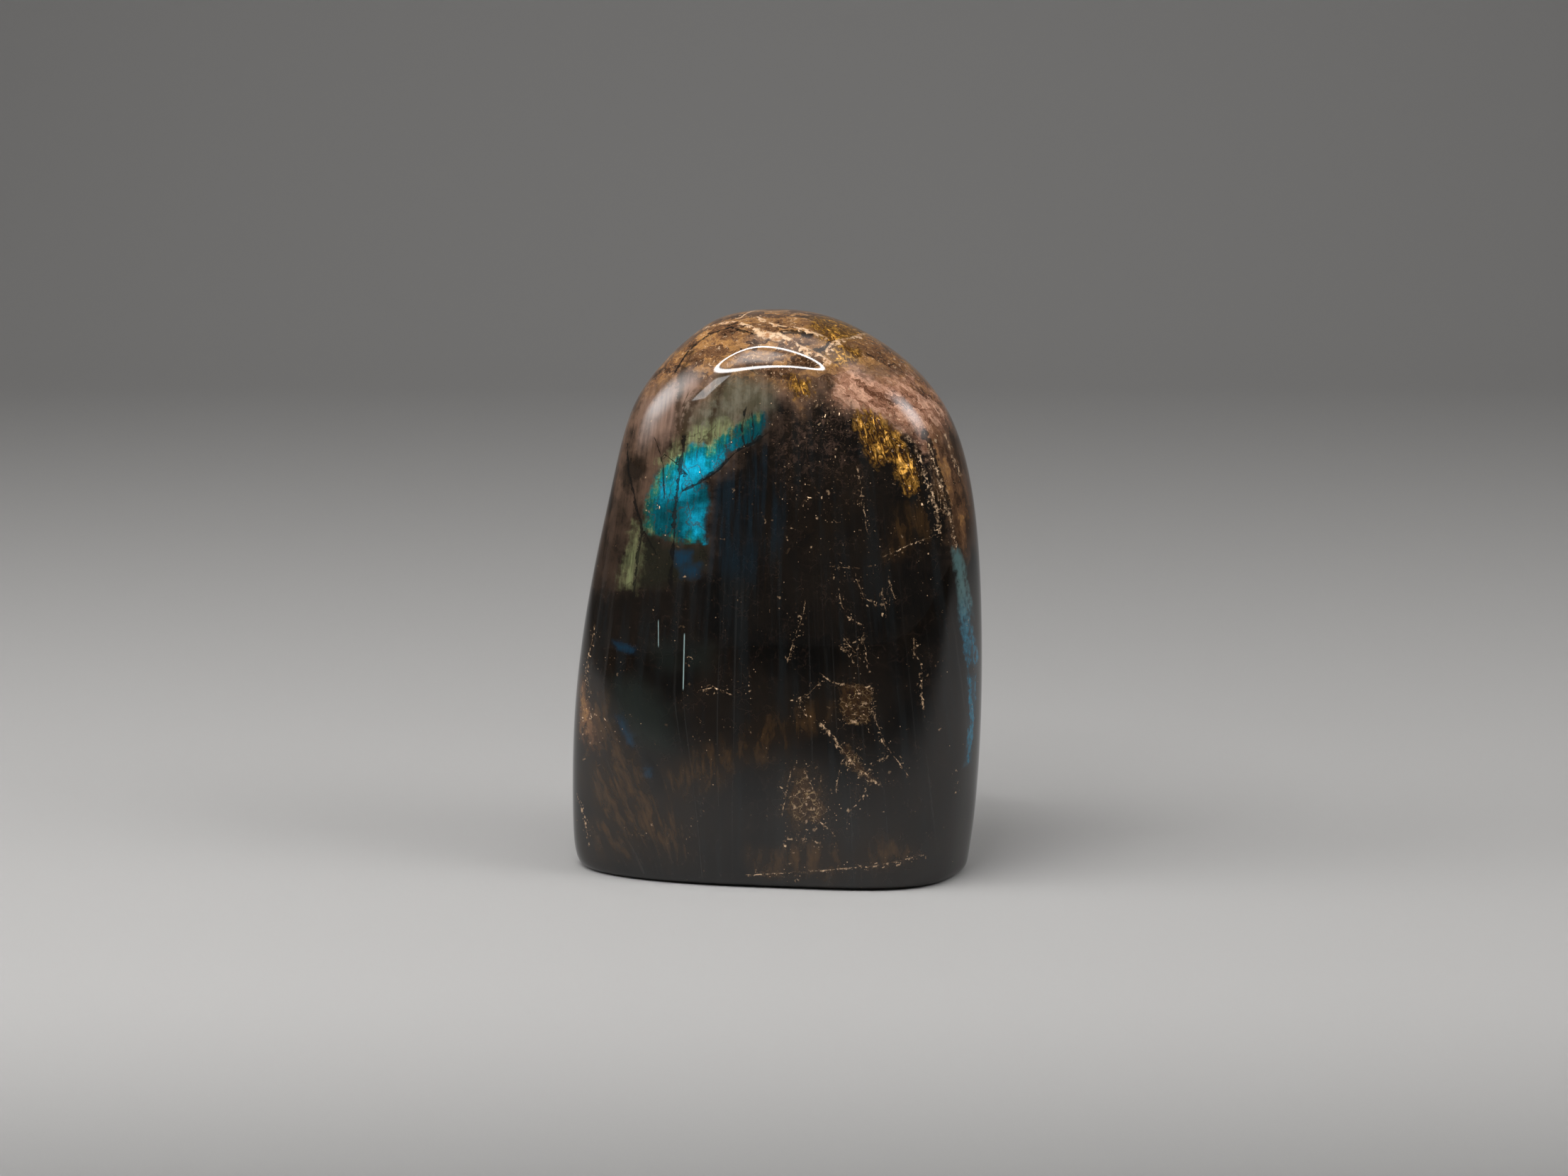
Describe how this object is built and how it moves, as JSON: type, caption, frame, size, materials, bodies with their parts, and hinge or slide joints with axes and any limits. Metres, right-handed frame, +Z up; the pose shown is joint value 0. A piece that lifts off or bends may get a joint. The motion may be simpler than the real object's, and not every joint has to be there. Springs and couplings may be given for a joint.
{
  "type": "polished labradorite",
  "caption": "Free-standing polished stone: an upright rounded block with a domed crown that narrows from a flat foot, dark feldspar with a blue-green flash.",
  "frame": {"origin": "on the surface that the stone stands on, under the middle of its bounding box", "axes": "+Z up along the stone's height; the front with the colour flash faces -Y; +X is the viewer's right"},
  "size_m": [0.0738, 0.0466, 0.1],
  "materials": {
    "labradorite": "high polish; dark grey-brown feldspar with golden-brown cracked parts and a teal-blue flash"
  },
  "bodies": {
    "root": {"stone": "labradorite"}
  },
  "joints": []
}
